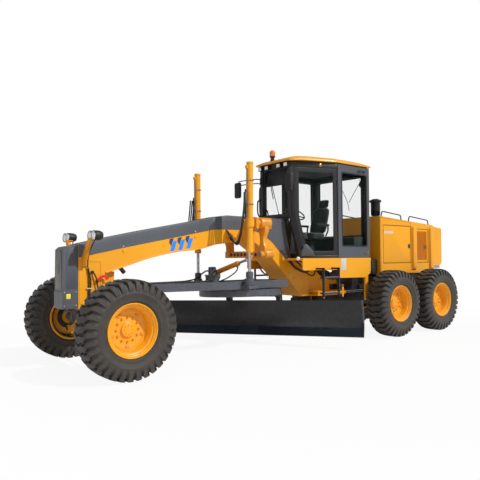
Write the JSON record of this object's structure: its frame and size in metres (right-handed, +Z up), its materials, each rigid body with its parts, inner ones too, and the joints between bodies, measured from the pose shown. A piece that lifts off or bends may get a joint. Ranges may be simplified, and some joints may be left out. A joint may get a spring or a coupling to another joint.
{
  "type": "motor grader",
  "caption": "Articulated motor grader with an arched front frame, angled blade on a turning circle, high glazed cab, rear engine hood and leaning steered front wheels.",
  "frame": {"origin": "on the ground, on the machine's middle plane, halfway between the front of the front tyres and the rear of the radiator housing", "axes": "+X forward, +Y to the machine's left, +Z up"},
  "size_m": [9.374, 3.5579, 3.73],
  "materials": {
    "yellow_paint": "satin paint",
    "grey_paint": "satin paint",
    "black_paint": "satin paint",
    "blade_steel": "semi-gloss dark coating",
    "tyre_rubber": "matt, dusty",
    "bare_steel": "machined",
    "chrome": "polished",
    "seat_cloth": "woven",
    "black_plastic": "moulded",
    "tinted_glass": "green tint"
  },
  "bodies": {
    "rear": {"rear_frame": "black_paint", "engine_block": "bare_steel", "hood": "yellow_paint", "radiator_housing": "yellow_paint", "air_precleaner": "black_plastic", "tandem_axle": "grey_paint"},
    "front": {"front_frame": "yellow_paint", "nose_block": "grey_paint", "blade_saddle": "grey_paint", "front_axle": "yellow_paint", "headlamps_left": "black_plastic", "headlamps_right": "black_plastic", "cab_base": "yellow_paint", "cab_frame": "black_paint", "cab_roof": "yellow_paint", "cab_glass": "tinted_glass", "seat": "seat_cloth", "steering_console": "black_plastic", "mirror_left": "black_plastic", "mirror_right": "black_plastic"},
    "articulation_barrel_left": {"articulation_barrel_left": "yellow_paint"},
    "articulation_rod_left": {"articulation_rod_left": "chrome"},
    "articulation_barrel_right": {"articulation_barrel_right": "yellow_paint"},
    "articulation_rod_right": {"articulation_rod_right": "chrome"},
    "wheel_mid_left": {"tyre_mid_left": "tyre_rubber", "rim_mid_left": "yellow_paint"},
    "wheel_rear_left": {"tyre_rear_left": "tyre_rubber", "rim_rear_left": "yellow_paint"},
    "wheel_mid_right": {"tyre_mid_right": "tyre_rubber", "rim_mid_right": "yellow_paint"},
    "wheel_rear_right": {"tyre_rear_right": "tyre_rubber", "rim_rear_right": "yellow_paint"},
    "lean_bracket_left": {"lean_bracket_left": "grey_paint"},
    "knuckle_left": {"knuckle_left": "grey_paint"},
    "wheel_front_left": {"tyre_front_left": "tyre_rubber", "rim_front_left": "yellow_paint"},
    "lean_bracket_right": {"lean_bracket_right": "grey_paint"},
    "knuckle_right": {"knuckle_right": "grey_paint"},
    "wheel_front_right": {"tyre_front_right": "tyre_rubber", "rim_front_right": "yellow_paint"},
    "lean_bar": {"lean_bar": "yellow_paint"},
    "tie_rod_ball": {"tie_rod_ball": "bare_steel"},
    "tie_rod": {"tie_rod": "black_paint"},
    "drawbar_ball": {"drawbar_ball": "bare_steel"},
    "drawbar": {"drawbar": "grey_paint"},
    "circle": {"circle": "grey_paint"},
    "blade_carriage": {"blade_carriage": "grey_paint"},
    "moldboard": {"moldboard": "blade_steel"},
    "lift_barrel_left": {"lift_barrel_left": "yellow_paint"},
    "lift_rod_left": {"lift_rod_left": "chrome"},
    "lift_barrel_right": {"lift_barrel_right": "yellow_paint"},
    "lift_rod_right": {"lift_rod_right": "chrome"},
    "shift_barrel": {"shift_barrel": "yellow_paint"},
    "shift_rod": {"shift_rod": "chrome"},
    "cab_door_left": {"cab_door_left": "black_paint"},
    "hood_door_front_left": {"hood_door_front_left": "yellow_paint"},
    "hood_door_rear_left": {"hood_door_rear_left": "yellow_paint"},
    "cab_door_right": {"cab_door_right": "black_paint"},
    "hood_door_front_right": {"hood_door_front_right": "yellow_paint"},
    "hood_door_rear_right": {"hood_door_rear_right": "yellow_paint"}
  },
  "joints": [
    {"name": "articulation", "type": "hinge", "parent": "rear", "child": "front", "pos_m": [-1.187, 0, 0.915], "axis": [0, 0, 1], "range_deg": [-20, 20]},
    {"name": "articulation_barrel_left", "type": "hinge", "parent": "front", "child": "articulation_barrel_left", "pos_m": [-0.337, 0.45, 0.915], "axis": [0, 0, 1], "range_deg": [-8.4, 8.4]},
    {"name": "articulation_rod_left", "type": "slide", "parent": "articulation_barrel_left", "child": "articulation_rod_left", "axis": [-1, 0, 0], "range_m": [-0.158, 0.158]},
    {"name": "articulation_barrel_right", "type": "hinge", "parent": "front", "child": "articulation_barrel_right", "pos_m": [-0.337, -0.45, 0.915], "axis": [0, 0, 1], "range_deg": [-8.4, 8.4]},
    {"name": "articulation_rod_right", "type": "slide", "parent": "articulation_barrel_right", "child": "articulation_rod_right", "axis": [-1, 0, 0], "range_m": [-0.158, 0.158]},
    {"name": "wheel_mid_left", "type": "hinge", "parent": "rear", "child": "wheel_mid_left", "pos_m": [-1.907, 1.078, 0.674], "axis": [0, 1, 0], "continuous": true},
    {"name": "wheel_rear_left", "type": "hinge", "parent": "rear", "child": "wheel_rear_left", "pos_m": [-3.427, 1.078, 0.674], "axis": [0, 1, 0], "continuous": true},
    {"name": "wheel_mid_right", "type": "hinge", "parent": "rear", "child": "wheel_mid_right", "pos_m": [-1.907, -1.078, 0.674], "axis": [0, 1, 0], "continuous": true},
    {"name": "wheel_rear_right", "type": "hinge", "parent": "rear", "child": "wheel_rear_right", "pos_m": [-3.427, -1.078, 0.674], "axis": [0, 1, 0], "continuous": true},
    {"name": "wheel_lean_left", "type": "hinge", "parent": "front", "child": "lean_bracket_left", "pos_m": [4.013, 0.88, 0.5], "axis": [1, 0, 0], "range_deg": [-18, 18]},
    {"name": "steer_left", "type": "hinge", "parent": "lean_bracket_left", "child": "knuckle_left", "pos_m": [4.013, 0.88, 0.674], "axis": [0, 0, 1], "range_deg": [-45, 45]},
    {"name": "wheel_front_left", "type": "hinge", "parent": "knuckle_left", "child": "wheel_front_left", "pos_m": [4.013, 1.078, 0.674], "axis": [0, 1, 0], "continuous": true},
    {"name": "wheel_lean_right", "type": "hinge", "parent": "front", "child": "lean_bracket_right", "pos_m": [4.013, -0.88, 0.5], "axis": [1, 0, 0], "range_deg": [-18, 18]},
    {"name": "steer_right", "type": "hinge", "parent": "lean_bracket_right", "child": "knuckle_right", "pos_m": [4.013, -0.88, 0.674], "axis": [0, 0, 1], "range_deg": [-45, 45]},
    {"name": "wheel_front_right", "type": "hinge", "parent": "knuckle_right", "child": "wheel_front_right", "pos_m": [4.013, -1.078, 0.674], "axis": [0, 1, 0], "continuous": true},
    {"name": "lean_bar", "type": "hinge", "parent": "lean_bracket_left", "child": "lean_bar", "pos_m": [4.013, 0.88, 0.85], "axis": [1, 0, 0], "range_deg": [-18, 18]},
    {"name": "tie_rod_ball", "type": "hinge", "parent": "knuckle_left", "child": "tie_rod_ball", "pos_m": [3.813, 0.88, 0.575], "axis": [0, 0, 1], "range_deg": [-45, 45]},
    {"name": "tie_rod", "type": "hinge", "parent": "tie_rod_ball", "child": "tie_rod", "pos_m": [3.813, 0.88, 0.575], "axis": [1, 0, 0], "range_deg": [-18, 18]},
    {"name": "drawbar_side", "type": "hinge", "parent": "front", "child": "drawbar_ball", "pos_m": [3.733, 0, 1.12], "axis": [0, -0.0332, 0.9995], "range_deg": [-4, 7]},
    {"name": "drawbar_lift", "type": "hinge", "parent": "drawbar_ball", "child": "drawbar", "pos_m": [3.733, 0, 1.12], "axis": [0, 0.9995, 0.0332], "range_deg": [-12, 5]},
    {"name": "circle_turn", "type": "hinge", "parent": "drawbar", "child": "circle", "pos_m": [1.233, 0, 1.12], "axis": [0, -0.0332, 0.9995], "range_deg": [-180, 180]},
    {"name": "blade_tilt", "type": "hinge", "parent": "circle", "child": "blade_carriage", "pos_m": [0.70323, -0.25832, 0.41105], "axis": [-0.4695, 0.8825, 0.0293], "range_deg": [-5, 30]},
    {"name": "blade_side_shift", "type": "slide", "parent": "blade_carriage", "child": "moldboard", "axis": [-0.4695, 0.8825, 0.0293], "range_m": [-0.765, 0.435]},
    {"name": "lift_barrel_left", "type": "hinge", "parent": "front", "child": "lift_barrel_left", "pos_m": [1.638, 0.776, 2.2], "axis": [-0.9476, 0.3192, -0.014], "range_deg": [-9.2, 15.9]},
    {"name": "lift_rod_left", "type": "slide", "parent": "lift_barrel_left", "child": "lift_rod_left", "axis": [0, -0.0134, -0.9999], "range_m": [-0.22, 0.5]},
    {"name": "lift_barrel_right", "type": "hinge", "parent": "front", "child": "lift_barrel_right", "pos_m": [1.638, -0.776, 2.2], "axis": [-0.9299, -0.3677, -0.0121], "range_deg": [-8.8, 15.2]},
    {"name": "lift_rod_right", "type": "slide", "parent": "lift_barrel_right", "child": "lift_rod_right", "axis": [0, 0.0076, -1], "range_m": [-0.22, 0.5]},
    {"name": "shift_barrel", "type": "hinge", "parent": "drawbar", "child": "shift_barrel", "pos_m": [1.613, -0.29713, 1.33026], "axis": [-0.5435, 0.1442, -0.8269], "range_deg": [-6.1, 10.4]},
    {"name": "shift_rod", "type": "slide", "parent": "shift_barrel", "child": "shift_rod", "axis": [-0.2547, 0.9132, 0.318], "range_m": [-0.22, 0.36]},
    {"name": "cab_door_left", "type": "hinge", "parent": "front", "child": "cab_door_left", "pos_m": [-0.584, 0.767, 0], "axis": [0, 0, 1], "range_deg": [0, 85]},
    {"name": "hood_door_front_left", "type": "hinge", "parent": "rear", "child": "hood_door_front_left", "pos_m": [-2.203, 0.64, 0], "axis": [0, 0, -1], "range_deg": [0, 88]},
    {"name": "hood_door_rear_left", "type": "hinge", "parent": "rear", "child": "hood_door_rear_left", "pos_m": [-3.428, 0.64, 0], "axis": [0, 0, -1], "range_deg": [0, 88]},
    {"name": "cab_door_right", "type": "hinge", "parent": "front", "child": "cab_door_right", "pos_m": [-0.584, -0.767, 0], "axis": [0, 0, -1], "range_deg": [0, 85]},
    {"name": "hood_door_front_right", "type": "hinge", "parent": "rear", "child": "hood_door_front_right", "pos_m": [-2.203, -0.64, 0], "axis": [0, 0, 1], "range_deg": [0, 88]},
    {"name": "hood_door_rear_right", "type": "hinge", "parent": "rear", "child": "hood_door_rear_right", "pos_m": [-3.428, -0.64, 0], "axis": [0, 0, 1], "range_deg": [0, 88]}
  ],
  "couplings": [
    {"joint": "articulation_barrel_left", "follows": "articulation", "ratio": -0.41188},
    {"joint": "articulation_rod_left", "follows": "articulation", "m_per_rad": -0.44751},
    {"joint": "articulation_barrel_right", "follows": "articulation", "ratio": -0.41188},
    {"joint": "articulation_rod_right", "follows": "articulation", "m_per_rad": 0.44751},
    {"joint": "wheel_lean_right", "follows": "wheel_lean_left", "ratio": 1},
    {"joint": "steer_right", "follows": "steer_left", "ratio": 1},
    {"joint": "lean_bar", "follows": "wheel_lean_left", "ratio": -1},
    {"joint": "tie_rod_ball", "follows": "steer_left", "ratio": -1},
    {"joint": "tie_rod", "follows": "wheel_lean_left", "ratio": -1},
    {"joint": "lift_barrel_left", "follows": "drawbar_side", "ratio": 2.2287},
    {"joint": "lift_rod_left", "follows": "drawbar_lift", "m_per_rad": -2.066},
    {"joint": "lift_barrel_right", "follows": "drawbar_side", "ratio": 2.129},
    {"joint": "lift_rod_right", "follows": "drawbar_lift", "m_per_rad": -2.066},
    {"joint": "shift_barrel", "follows": "drawbar_side", "ratio": 1.4465},
    {"joint": "shift_rod", "follows": "drawbar_side", "m_per_rad": 2.0397}
  ]
}
